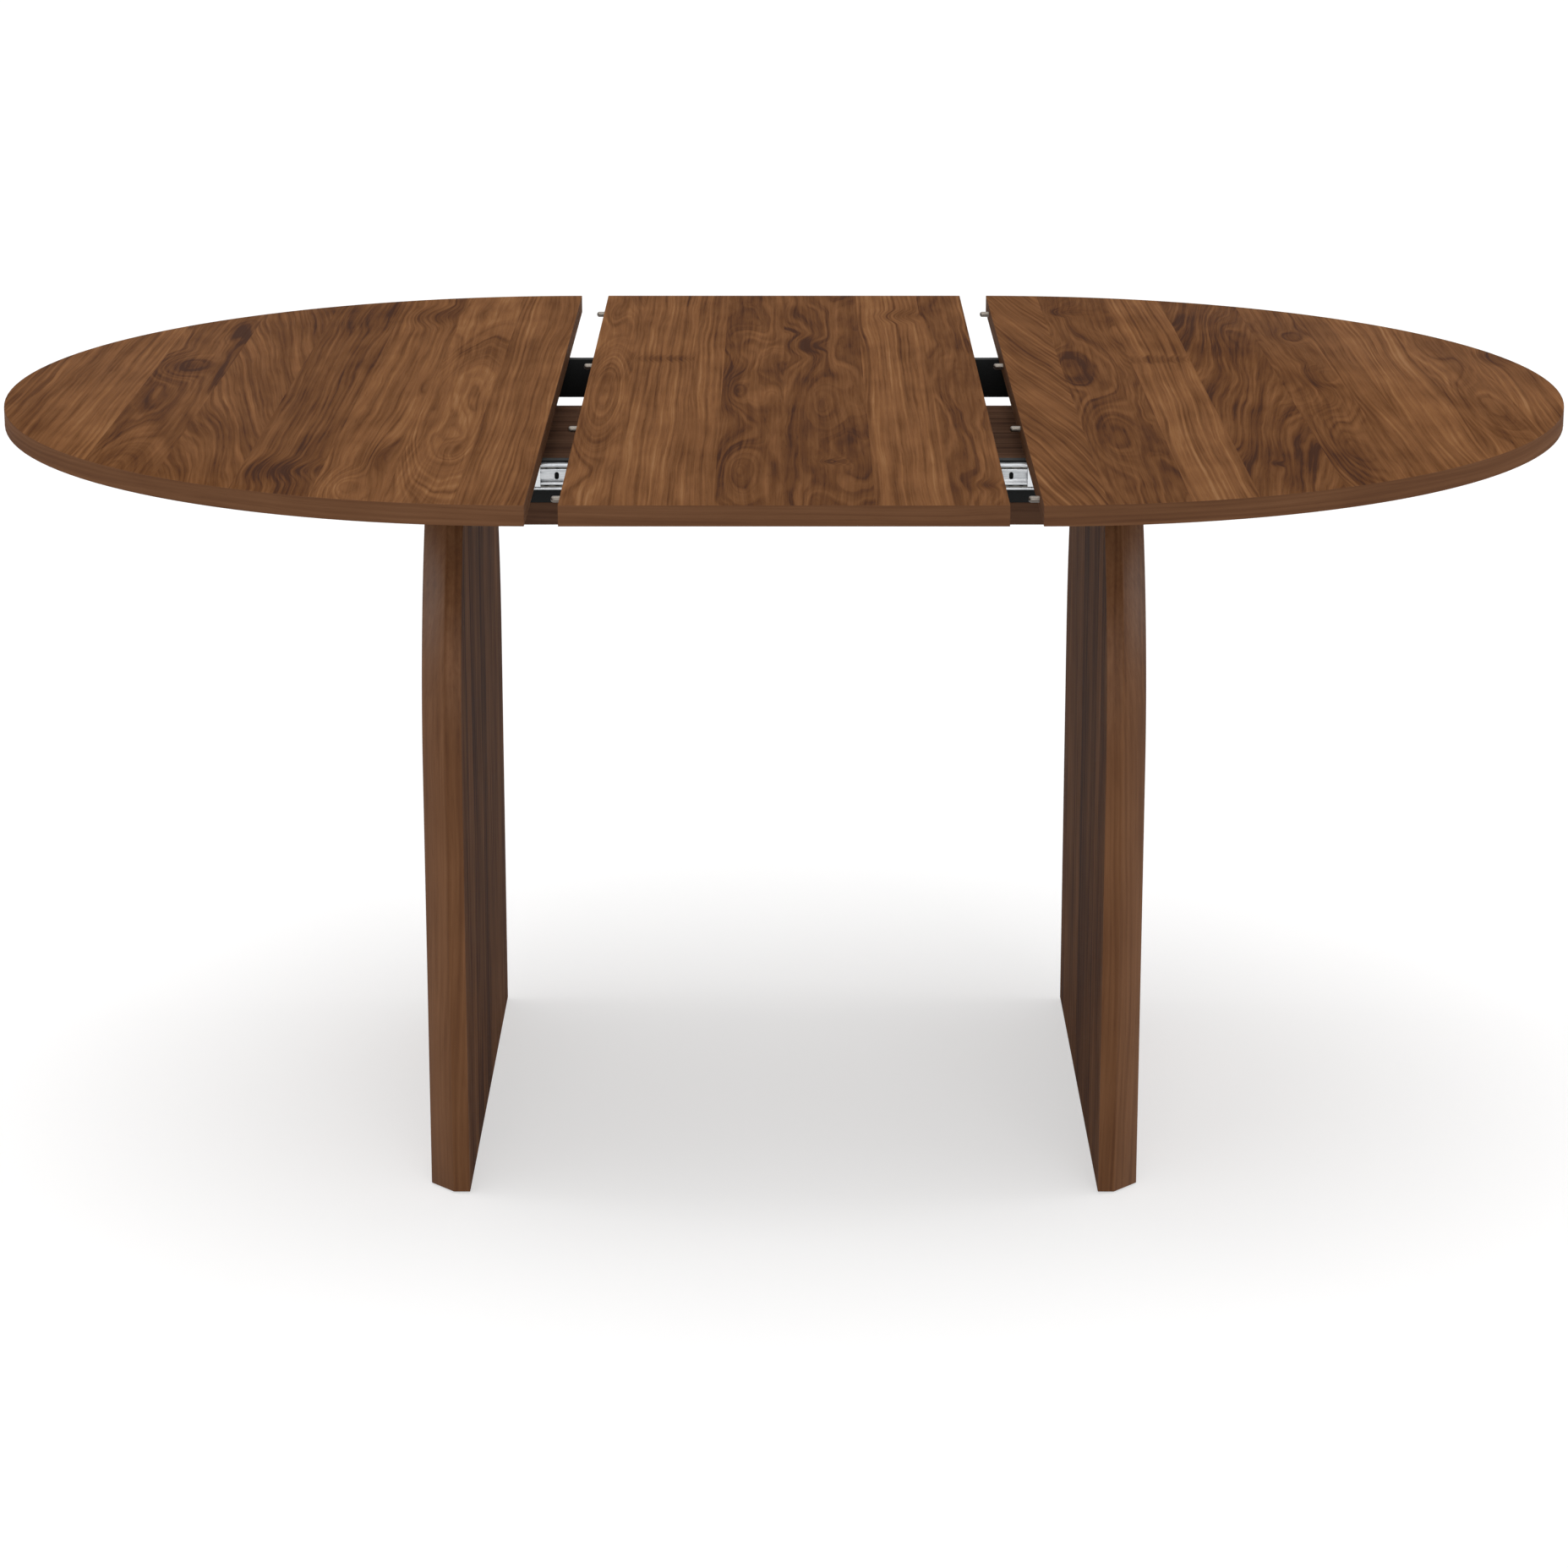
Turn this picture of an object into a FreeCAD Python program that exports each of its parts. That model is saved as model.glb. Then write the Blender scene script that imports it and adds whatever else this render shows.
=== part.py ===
"""Extending dining table: two half-round tops on ball-bearing slides, a loose leaf and two panel legs.

The table is modelled with both half tops drawn out and the leaf lying between them.
X runs along the extension, Y from front to back, Z up. The origin is on the floor, under the middle.
Pieces that come in fours are drawn once, at the front right, and mirrored to the other places.
"""
import FreeCAD, Part
import math
import os
from FreeCAD import Vector

# Table top and leaf
table_height = 754.0
top_thickness = 19.0
top_radius = 550.0
leaf_width = 400.0
leaf_gap = 30.0  # open gap between the leaf and each half top, as drawn

# Alignment pins in the edges of the leaf and of the right half top
pin_radius = 3.0
pin_reach = 10.0
pin_grip = 20.0
pin_hole_play = 0.1
pin_hole_spare_depth = 2.0
pin_inner_offset = 165.0
pin_end_inset = 69.0  # from the end of the leaf's edge to the outermost pin

# Panel legs
leg_inner_offset = 310.0
leg_thickness = 40.0
leg_half_depth = 290.0
leg_top_half_depth = 146.5
leg_curve_height = 303.0
leg_chamfer = 24.0

# Felt strips under the legs and nylon slip strips on top of them
felt_thickness = 1.5
felt_length = 150.0
felt_end_inset = 45.0
slip_thickness = 2.0
slip_length = 60.0
slip_end_inset = 35.0
slip_play = 0.3
strip_side_inset = 6.0  # from a leg's face to the side of its strips

# Tie board between the legs
board_half_depth = 240.0
board_thickness = 22.0

# Corner brackets that hold the tie board to the legs
corner_bracket_reach = 25.0
corner_bracket_width = 60.0
corner_bracket_sheet = 3.0
corner_bracket_offset = 95.0

# Rails that carry the leaf and the slides
rail_inner_offset = 255.0
rail_thickness = 12.0
rail_height = 41.0
rail_length = 600.0
rail_wall = 1.5
cap_flange = 2.0
cap_plug_length = 12.0
cap_play = 0.1

# Cross straps that carry the rails on the tie board
strap_width = 40.0
strap_thickness = 6.0
strap_end_inset = 30.0  # from the rail's end to the middle of the outer strap
strap_screw_inset = 150.0  # from the tie board's long edge to a screw

# Slide members, as sections of bent sheet
slide_length = 250.0
slide_height = 25.0
slide_top_gap = 1.7
slide_end_inset = 1.0
member_sheet = 1.0
outer_member_depth = 10.5
outer_lip_height = 2.5
middle_member_setback = 1.1
middle_lip_height = 2.8
inner_member_proud = 0.5
running_gap = 0.35
middle_hole_width = 4.0
middle_hole_height = 7.0
middle_hole_inset = 100.0
driver_window_width = 7.0
driver_window_height = 10.0
outer_window_inset = 215.0

# Ball cages and the rows of balls that they keep apart
outer_ball_radius = 1.7
inner_ball_radius = 1.4
ball_play = 0.05
ball_pitch = 10.5
balls_per_row = 8
cage_sheet = 0.5
cage_length = 96.0
cage_window_inset = 80.5
window_play = 0.15
notch_depth = 0.8
notch_width = 6.0

# Angle brackets between the slides and the half tops
bracket_length = 240.0
bracket_sheet = 2.0
bracket_drop = 23.0
bracket_flange = 32.0

# Hexagon fasteners: radii over the corners, lengths, and where they stand along the brackets
fastener_sides = 6
wood_screw_head_radius = 4.6
wood_screw_head_height = 2.6
wood_screw_radius = 2.0
wood_screw_length = 14.0
strap_screw_head_radius = 5.8
strap_screw_head_height = 3.2
strap_screw_radius = 2.5
strap_screw_length = 18.0
rail_bolt_head_radius = 5.0
rail_bolt_head_height = 3.5
rail_bolt_radius = 2.5
rail_bolt_length = 14.0
fastener_play = 0.1
bracket_screw_insets = [20.0, 120.0, 220.0]

# Overrun of every cutting solid past the face that it cuts
cut_overrun = 1.0

# Levels and places that follow from the sizes above
underside = table_height - top_thickness
cut_face = leaf_width / 2 + leaf_gap
leg_outer_offset = leg_inner_offset + leg_thickness
leg_top = underside - slip_play - slip_thickness
leg_bend_level = leg_top - leg_curve_height
leg_draw_in = leg_half_depth - leg_top_half_depth
leg_curve_radius = (leg_curve_height ** 2 + leg_draw_in ** 2) / (2 * leg_draw_in)
rail_bottom = underside - rail_height
rail_outer_offset = rail_inner_offset + rail_thickness
board_top = rail_bottom - strap_thickness
board_bottom = board_top - board_thickness
slide_middle = underside - slide_top_gap - slide_height / 2
pin_level = underside + top_thickness / 2
pin_socket_depth = pin_reach + pin_hole_spare_depth
pin_outer_offset = top_radius - pin_end_inset
pin_rows = [-pin_outer_offset, -pin_inner_offset, pin_inner_offset, pin_outer_offset]
strap_offset = rail_length / 2 - strap_end_inset
strap_board_screw_offset = board_half_depth - strap_screw_inset

# Slide section: distances from the rail's outer face, and half heights from the slide's middle
outer_cage_back = member_sheet + running_gap
middle_back = outer_cage_back + cage_sheet + running_gap
inner_cage_back = middle_back + member_sheet + running_gap
inner_flange_back = inner_cage_back + cage_sheet + running_gap
outer_cage_front = outer_member_depth - member_sheet - running_gap
middle_front = outer_member_depth - middle_member_setback
inner_cage_front = middle_front - member_sheet - running_gap
inner_front = outer_member_depth + inner_member_proud
outer_half = slide_height / 2
middle_half = outer_half - member_sheet - 2 * (outer_ball_radius + ball_play)
inner_half = middle_half - member_sheet - 2 * (inner_ball_radius + ball_play)
outer_row = middle_half + outer_ball_radius + ball_play
inner_row = inner_half + inner_ball_radius + ball_play
outer_ball_depth = outer_cage_front - cage_sheet - running_gap - outer_ball_radius
inner_ball_depth = middle_front - member_sheet - ball_play - inner_ball_radius

# Where each slide member starts along X, with the half top drawn out to its cut face
outer_start = slide_end_inset
middle_start = slide_end_inset + cut_face / 2
inner_start = slide_end_inset + cut_face
closed_middle = slide_end_inset + slide_length / 2
outer_cage_start = closed_middle + cut_face / 4 - cage_length / 2
inner_cage_start = closed_middle + cut_face * 3 / 4 - cage_length / 2


def box(x_range, y_range, z_range):
    """Box between two limits along each axis."""
    size = [high - low for low, high in (x_range, y_range, z_range)]
    return Part.makeBox(*size, Vector(x_range[0], y_range[0], z_range[0]))


def rod(radius, start, direction, length):
    """Cylinder from a start point along a direction."""
    return Part.makeCylinder(radius, length, start, direction)


def mirror_x(shape):
    """Copy of a right-hand piece for the left."""
    return shape.mirror(Vector(0, 0, 0), Vector(1, 0, 0))


def mirror_y(shape):
    """Copy of a front piece for the rear."""
    return shape.mirror(Vector(0, 0, 0), Vector(0, 1, 0))


def at_four_corners(shape):
    """A front right piece and its three mirror images."""
    front_pair = [shape, mirror_x(shape)]
    return front_pair + [mirror_y(piece) for piece in front_pair]


def group(shapes):
    """Separate solids kept together as one sub-part."""
    return Part.makeCompound(shapes)


def cut_all(shape, tools):
    """Shape less every tool."""
    return shape.cut(group(tools))


def flat_face(points):
    """Flat face inside a closed chain of points."""
    return Part.Face(Part.makePolygon(points + points[:1]))


def corner_arc(before, corner, after, radius):
    """Start, middle and end of the arc that rounds the corner between two other points."""
    to_before = (before - corner).normalize()
    to_after = (after - corner).normalize()
    half_angle = to_before.getAngle(to_after) / 2
    bisector = (to_before + to_after).normalize()
    reach = radius / math.tan(half_angle)
    middle = corner + bisector * (radius / math.sin(half_angle) - radius)
    return [corner + to_before * reach, middle, corner + to_after * reach]


def outline_face(corners):
    """Flat face inside corners given as (point, rounding radius)."""
    stretches = []
    for index, (corner, radius) in enumerate(corners):
        before = corners[index - 1][0]
        after = corners[(index + 1) % len(corners)][0]
        stretches.append([corner] if radius == 0 else corner_arc(before, corner, after, radius))
    edges = []
    for index, stretch in enumerate(stretches):
        if len(stretch) > 1:
            edges.append(Part.Arc(*stretch).toShape())
        following = stretches[(index + 1) % len(stretches)]
        edges.append(Part.LineSegment(stretch[-1], following[0]).toShape())
    return Part.Face(Part.Wire(edges))


def sheet_face(path, sheet, place, rounded=True):
    """Section of a folded sheet along a centre line, rounded on the outside of each fold.

    The path is flat, in (a, b); place turns a flat point into one in space.
    """
    points = [Vector(a, b, 0) for a, b in path]
    steps = [(end - start).normalize() for start, end in zip(points, points[1:])]
    left_side = []
    right_side = []
    for index, point in enumerate(points):
        step_in = steps[max(index - 1, 0)]
        step_out = steps[min(index, len(steps) - 1)]
        normal_in = Vector(-step_in.y, step_in.x, 0)
        normal_out = Vector(-step_out.y, step_out.x, 0)
        mitre = (normal_in + normal_out) * (sheet / 2 / (1 + normal_in.dot(normal_out)))
        turn = step_in.cross(step_out).z if rounded else 0
        left = point + mitre
        right = point - mitre
        left_side.append((place(left.x, left.y), sheet if turn < 0 else 0))
        right_side.append((place(right.x, right.y), sheet if turn > 0 else 0))
    return outline_face(left_side + right_side[::-1])


def on_slide(x):
    """Place a slide section's point: depth from the front rail's outer face, height from the middle."""
    return lambda depth, height: Vector(x, -rail_outer_offset - depth, slide_middle + height)


def slide_member(path, sheet, start, length, rounded=True):
    """Folded sheet member of a slide along X."""
    return sheet_face(path, sheet, on_slide(start), rounded).extrude(Vector(length, 0, 0))


def hexagon_rod(radius, start, direction, length):
    """Hexagonal prism from a start point along an axis direction, as heads and thread cores are drawn."""
    across = Vector(0, 1, 0) if abs(direction.y) < 1 else Vector(1, 0, 0)
    beside = direction.cross(across)
    turns = [2 * math.pi * index / fastener_sides for index in range(fastener_sides)]
    rim = [start + across * (radius * math.cos(turn)) + beside * (radius * math.sin(turn)) for turn in turns]
    return flat_face(rim).extrude(direction * length)


def screw(head_base, direction, head, shank):
    """Hexagon screw whose head stands back from its base and whose shank runs along the direction."""
    head_radius, head_height = head
    shank_radius, shank_length = shank
    head_solid = hexagon_rod(head_radius, head_base, direction.negative(), head_height)
    shank_solid = hexagon_rod(shank_radius, head_base, direction, shank_length)
    return head_solid.fuse(shank_solid).removeSplitter()


def screw_hole(head_base, direction, shank):
    """Hole for a screw's shank, from before the face under its head to a little past its end."""
    shank_radius, shank_length = shank
    start = head_base - direction * cut_overrun
    return hexagon_rod(shank_radius + fastener_play, start, direction, shank_length + 2 * cut_overrun)


def pin_holes(face_x, direction, depth):
    """Blind holes for the alignment pins, opening at one edge face."""
    radius = pin_radius + pin_hole_play
    starts = [Vector(face_x - direction * cut_overrun, y, pin_level) for y in pin_rows]
    return [rod(radius, start, Vector(direction, 0, 0), depth + cut_overrun) for start in starts]


def alignment_pins(face_x):
    """Pins seated in an edge face, standing out of it towards the left."""
    starts = [Vector(face_x + pin_grip, y, pin_level) for y in pin_rows]
    return group([rod(pin_radius, start, Vector(-1, 0, 0), pin_grip + pin_reach) for start in starts])


def half_disc():
    """Half top for the right, with a straight cut edge towards the leaf."""
    front = Vector(cut_face, -top_radius, underside)
    tip = Vector(cut_face + top_radius, 0, underside)
    back = Vector(cut_face, top_radius, underside)
    rim = Part.Arc(front, tip, back).toShape()
    cut_edge = Part.LineSegment(back, front).toShape()
    return Part.Face(Part.Wire([rim, cut_edge])).extrude(Vector(0, 0, top_thickness))


def bracket_screw_places():
    """Points under the front right bracket's flange where its screws sit."""
    y = -rail_outer_offset - inner_front - bracket_sheet - (bracket_flange - bracket_sheet) / 2
    return [Vector(inner_start + inset, y, underside - bracket_sheet) for inset in bracket_screw_insets]


wood_head = (wood_screw_head_radius, wood_screw_head_height)
wood_shank = (wood_screw_radius, wood_screw_length)
up = Vector(0, 0, 1)
down = Vector(0, 0, -1)


def half_top(pin_hole_depth):
    """Right half top with its edge holes and the screw holes in its underside."""
    front_holes = [screw_hole(place, up, wood_shank) for place in bracket_screw_places()]
    holes = front_holes + [mirror_y(hole) for hole in front_holes]
    return cut_all(half_disc(), holes + pin_holes(cut_face, 1, pin_hole_depth))


def extension_leaf():
    """Loose leaf: pins stand in its left edge, and its right edge has sockets for the half top's pins."""
    half = leaf_width / 2
    board = box((-half, half), (-top_radius, top_radius), (underside, table_height))
    return cut_all(board, pin_holes(-half, 1, pin_grip) + pin_holes(half, -1, pin_socket_depth))


def leg_side_face():
    """Side outline of a leg: straight at the foot, drawn in by an arc towards the top."""
    angle = math.asin(leg_curve_height / leg_curve_radius)

    def on_edge(side, share):
        drawn_in = leg_curve_radius * (1 - math.cos(angle * share))
        height = leg_curve_radius * math.sin(angle * share)
        return Vector(leg_inner_offset, side * (leg_half_depth - drawn_in), leg_bend_level + height)

    feet = [Vector(leg_inner_offset, side * leg_half_depth, felt_thickness) for side in (-1, 1)]
    half_share = 1 / 2
    edges = [
        Part.LineSegment(feet[1], feet[0]),
        Part.LineSegment(feet[0], on_edge(-1, 0)),
        Part.Arc(on_edge(-1, 0), on_edge(-1, half_share), on_edge(-1, 1)),
        Part.LineSegment(on_edge(-1, 1), on_edge(1, 1)),
        Part.Arc(on_edge(1, 1), on_edge(1, half_share), on_edge(1, 0)),
        Part.LineSegment(on_edge(1, 0), feet[1]),
    ]
    return Part.Face(Part.Wire([edge.toShape() for edge in edges]))


def is_outer_side_edge(edge):
    """Whether an edge runs up the outer face of the right leg, at its front or back."""
    on_outer_face = all(math.isclose(v.Point.x, leg_outer_offset) for v in edge.Vertexes)
    levels = [v.Point.z for v in edge.Vertexes]
    return on_outer_face and not math.isclose(min(levels), max(levels))


def panel_leg():
    """Right leg: a thick panel whose outer edges carry one wide chamfer, also along the curve."""
    panel = leg_side_face().extrude(Vector(leg_thickness, 0, 0))
    return panel.makeChamfer(leg_chamfer, [edge for edge in panel.Edges if is_outer_side_edge(edge)])


def corner_bracket():
    """Front right corner bracket: an angle under the tie board, against the leg's inner face."""
    half = corner_bracket_sheet / 2
    path = [
        (leg_inner_offset - corner_bracket_reach, board_bottom - half),
        (leg_inner_offset - half, board_bottom - half),
        (leg_inner_offset - half, board_bottom - corner_bracket_reach),
    ]
    front = -corner_bracket_offset - corner_bracket_width / 2
    section = sheet_face(path, corner_bracket_sheet, lambda x, z: Vector(x, front, z))
    return section.extrude(Vector(0, corner_bracket_width, 0))


def strap_places():
    """Middle of each cross strap along X."""
    return {"left_strap": -strap_offset, "centre_strap": 0, "right_strap": strap_offset}


def strap_board_screws(x):
    """Places of the screws that hold a strap to the tie board."""
    rows = (-strap_board_screw_offset, strap_board_screw_offset)
    return [Vector(x, y, board_top + strap_thickness) for y in rows]


def strap_rail_bolts(x):
    """Places of the bolts that hold the rails to a strap from below."""
    row = rail_inner_offset + rail_thickness / 2
    return [Vector(x, y, board_top) for y in (-row, row)]


strap_head = (strap_screw_head_radius, strap_screw_head_height)
strap_shank = (strap_screw_radius, strap_screw_length)
bolt_head = (rail_bolt_head_radius, rail_bolt_head_height)
bolt_shank = (rail_bolt_radius, rail_bolt_length)


def cross_strap(x):
    """Flat strap across the tie board with its ends under the rails."""
    half = strap_width / 2
    y_range = (-rail_outer_offset, rail_outer_offset)
    strap = box((x - half, x + half), y_range, (board_top, board_top + strap_thickness))
    board_holes = [screw_hole(place, down, strap_shank) for place in strap_board_screws(x)]
    rail_holes = [screw_hole(place, up, bolt_shank) for place in strap_rail_bolts(x)]
    return cut_all(strap, board_holes + rail_holes)


def tie_board():
    """Board between the legs that carries the straps."""
    x_range = (-leg_inner_offset, leg_inner_offset)
    board = box(x_range, (-board_half_depth, board_half_depth), (board_bottom, board_top))
    strap_screws = [place for x in strap_places().values() for place in strap_board_screws(x)]
    return cut_all(board, [screw_hole(place, down, strap_shank) for place in strap_screws])


def rail_prism(inset, x_range):
    """Prism along X with the front rail's section, drawn in all round by an inset."""
    y_range = (-rail_outer_offset + inset, -rail_inner_offset - inset)
    return box(x_range, y_range, (rail_bottom + inset, underside - inset))


def front_rail():
    """Front rail: a rectangular tube that the leaf lies on."""
    end = rail_length / 2
    tube = rail_prism(0, (-end, end)).cut(rail_prism(rail_wall, (-end, end)))
    places = [strap_rail_bolts(x)[0] for x in strap_places().values()]
    return cut_all(tube, [screw_hole(place, up, bolt_shank) for place in places])


def rail_cap():
    """Plug that closes the front rail's right end."""
    end = rail_length / 2
    flange = rail_prism(0, (end, end + cap_flange))
    plug = rail_prism(rail_wall + cap_play, (end - cap_plug_length, end))
    return flange.fuse(plug).removeSplitter()


def driver_window(x, back, sheet):
    """Window in a web, in line with the middle member's hole when the table is drawn out as shown."""
    y = -rail_outer_offset - back
    return box(
        (x - driver_window_width / 2, x + driver_window_width / 2),
        (y - sheet - cut_overrun, y + cut_overrun),
        (slide_middle - driver_window_height / 2, slide_middle + driver_window_height / 2),
    )


def outer_member():
    """Fixed slide member: a channel on the rail whose lips curl round the outer balls."""
    back = member_sheet / 2
    front = outer_member_depth - member_sheet / 2
    side = outer_half - member_sheet / 2
    lip_end = outer_half - outer_lip_height
    path = [(front, -lip_end), (front, -side), (back, -side), (back, side), (front, side), (front, lip_end)]
    window = driver_window(outer_start + outer_window_inset, 0, member_sheet)
    return slide_member(path, member_sheet, outer_start, slide_length).cut(window)


def middle_hole():
    """Oval hole through the middle member's web."""
    half_width = middle_hole_width / 2
    straight = middle_hole_height / 2 - half_width
    x = middle_start + middle_hole_inset
    y = -rail_outer_offset - middle_back + cut_overrun
    length = member_sheet + 2 * cut_overrun
    ends = [
        rod(half_width, Vector(x, y, slide_middle + side * straight), Vector(0, -1, 0), length)
        for side in (-1, 1)
    ]
    z_range = (slide_middle - straight, slide_middle + straight)
    slot = box((x - half_width, x + half_width), (y - length, y), z_range)
    return ends[0].fuse([ends[1], slot]).removeSplitter()


def middle_member():
    """Slide member between the two rows of balls: it follows the half top at half its speed."""
    back = middle_back + member_sheet / 2
    front = middle_front - member_sheet / 2
    side = middle_half - member_sheet / 2
    lip_end = middle_half - middle_lip_height
    path = [(front, -lip_end), (front, -side), (back, -side), (back, side), (front, side), (front, lip_end)]
    return slide_member(path, member_sheet, middle_start, slide_length).cut(middle_hole())


def inner_member():
    """Moving slide member: a narrow channel whose flat web carries the bracket."""
    web = inner_front - member_sheet / 2
    side = inner_half - member_sheet / 2
    path = [(inner_flange_back, -side), (web, -side), (web, side), (inner_flange_back, side)]
    return slide_member(path, member_sheet, inner_start, slide_length)


def angle_bracket():
    """Angle from the inner member's web to the underside of the half top."""
    upright = inner_front + bracket_sheet / 2
    flange_level = underside - slide_middle - bracket_sheet / 2
    foot_level = underside - slide_middle - bracket_drop
    path = [(upright, foot_level), (upright, flange_level), (inner_front + bracket_flange, flange_level)]
    angle = slide_member(path, bracket_sheet, inner_start, bracket_length)
    return cut_all(angle, [screw_hole(place, up, wood_shank) for place in bracket_screw_places()])


def ball_stations(start):
    """Places of the balls along a cage that starts at a given X."""
    first = start + (cage_length - (balls_per_row - 1) * ball_pitch) / 2
    return [first + index * ball_pitch for index in range(balls_per_row)]


def cage_windows(start, row, depth_range, ball_radius):
    """Windows that keep the balls of both rows apart, between two depths from the rail."""
    half = ball_radius + window_play
    y_range = (-rail_outer_offset - depth_range[1], -rail_outer_offset - depth_range[0])
    windows = []
    for x in ball_stations(start):
        for side in (-1, 1):
            z = slide_middle + side * row
            windows.append(box((x - half, x + half), y_range, (z - cage_sheet, z + cage_sheet)))
    return windows


def lip_notches(lip_end):
    """Wedges that cut the outer cage's lips to a zigzag between the balls."""
    front = -rail_outer_offset - outer_cage_front - cut_overrun
    notches = []
    stations = ball_stations(outer_cage_start)
    for x in [stations[0] - ball_pitch / 2] + [station + ball_pitch / 2 for station in stations]:
        for side in (-1, 1):
            edge = slide_middle + side * lip_end
            corners = [
                Vector(x - notch_width / 2, front, edge),
                Vector(x + notch_width / 2, front, edge),
                Vector(x, front, edge + side * notch_depth),
            ]
            notches.append(flat_face(corners).extrude(Vector(0, cage_sheet + 2 * cut_overrun, 0)))
    return notches


def outer_cage():
    """Cage of the outer balls: a channel with closed windows and turned-in, notched lips."""
    back = outer_cage_back + cage_sheet / 2
    front = outer_cage_front - cage_sheet / 2
    lip_end = middle_half + running_gap
    path = [
        (front, -lip_end), (front, -outer_row), (back, -outer_row),
        (back, outer_row), (front, outer_row), (front, lip_end),
    ]
    cage = slide_member(path, cage_sheet, outer_cage_start, cage_length, rounded=False)
    reach = outer_ball_radius + window_play
    depths = (outer_ball_depth - reach, outer_ball_depth + reach)
    windows = cage_windows(outer_cage_start, outer_row, depths, outer_ball_radius)
    windows.append(driver_window(outer_cage_start + cage_window_inset, outer_cage_back, cage_sheet))
    return cut_all(cage, windows + lip_notches(lip_end))


def inner_cage():
    """Cage of the inner balls: a channel with open slots along both edges."""
    back = inner_cage_back + cage_sheet / 2
    path = [
        (inner_cage_front, -inner_row), (back, -inner_row),
        (back, inner_row), (inner_cage_front, inner_row),
    ]
    cage = slide_member(path, cage_sheet, inner_cage_start, cage_length, rounded=False)
    depths = (inner_ball_depth - inner_ball_radius - window_play, inner_cage_front + cut_overrun)
    return cut_all(cage, cage_windows(inner_cage_start, inner_row, depths, inner_ball_radius))


def leg_strips(size, outer_end, level):
    """Front and rear strip under or on the right leg, from a length and thickness."""
    length, thickness = size
    x_range = (leg_inner_offset + strip_side_inset, leg_outer_offset - strip_side_inset)
    front = box(x_range, (-outer_end, length - outer_end), (level, level + thickness))
    return group([front, mirror_y(front)])


def structure_parts():
    """Legs, tie board, straps and rails, with their strips, caps and fasteners."""
    parts = {"right_leg": panel_leg(), "tie_board": tie_board(), "front_rail": front_rail()}
    parts["left_leg"] = mirror_x(parts["right_leg"])
    parts["rear_rail"] = mirror_y(parts["front_rail"])
    parts["rail_end_caps"] = group(at_four_corners(rail_cap()))
    brackets = [corner_bracket(), mirror_y(corner_bracket())]
    parts["right_corner_brackets"] = group(brackets)
    parts["left_corner_brackets"] = group([mirror_x(bracket) for bracket in brackets])
    board_screws = []
    rail_bolts = []
    for name, x in strap_places().items():
        parts[name] = cross_strap(x)
        board_screws += [screw(place, down, strap_head, strap_shank) for place in strap_board_screws(x)]
        rail_bolts += [screw(place, up, bolt_head, bolt_shank) for place in strap_rail_bolts(x)]
    parts["strap_board_screws"] = group(board_screws)
    parts["strap_rail_bolts"] = group(rail_bolts)
    felt_size = (felt_length, felt_thickness)
    slip_size = (slip_length, slip_thickness)
    parts["right_leg_felt_strips"] = leg_strips(felt_size, leg_half_depth - felt_end_inset, 0)
    parts["right_leg_slip_strips"] = leg_strips(slip_size, leg_top_half_depth - slip_end_inset, leg_top)
    for kind in ("felt_strips", "slip_strips"):
        parts["left_leg_" + kind] = mirror_x(parts["right_leg_" + kind])
    return parts


def slide_parts():
    """The four telescopic slides, each as its own members, cages and bracket."""
    pieces = {
        "outer_member": outer_member(),
        "middle_member": middle_member(),
        "inner_member": inner_member(),
        "outer_ball_cage": outer_cage(),
        "inner_ball_cage": inner_cage(),
        "angle_bracket": angle_bracket(),
    }
    corners = ["front_right", "front_left", "rear_right", "rear_left"]
    parts = {}
    for name, piece in pieces.items():
        for corner, copy in zip(corners, at_four_corners(piece)):
            parts[corner + "_" + name] = copy
    return parts


def top_parts():
    """Half tops and leaf, with their pins and the fasteners that ride with them."""
    parts = {
        "right_half_top": half_top(pin_grip),
        "left_half_top": mirror_x(half_top(pin_socket_depth)),
        "extension_leaf": extension_leaf(),
        "leaf_pins": alignment_pins(-leaf_width / 2),
        "right_top_pins": alignment_pins(cut_face),
    }
    screws = [screw(place, up, wood_head, wood_shank) for place in bracket_screw_places()]
    screws += [mirror_y(one) for one in screws]
    parts["right_bracket_screws"] = group(screws)
    parts["left_bracket_screws"] = group([mirror_x(one) for one in screws])
    return parts


def main():
    """Build every sub-part and write one STEP file for each."""
    os.makedirs("parts", exist_ok=True)
    parts = {**structure_parts(), **slide_parts(), **top_parts()}
    for name, shape in parts.items():
        shape.exportStep(os.path.join("parts", name + ".step"))
        print(name, "solids", len(shape.Solids), "volume", round(shape.Volume), "valid", shape.isValid())


main()
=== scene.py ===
"""Extending dining table: finishes, fastener heads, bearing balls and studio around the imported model.

The table stands on the floor at the origin, with X along its extension, Y to the back and Z up, in metres.
"""
import logging
import math
from dataclasses import dataclass, field
from enum import Enum
from typing import Any

import bpy
from mathutils import Matrix, Vector


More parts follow.
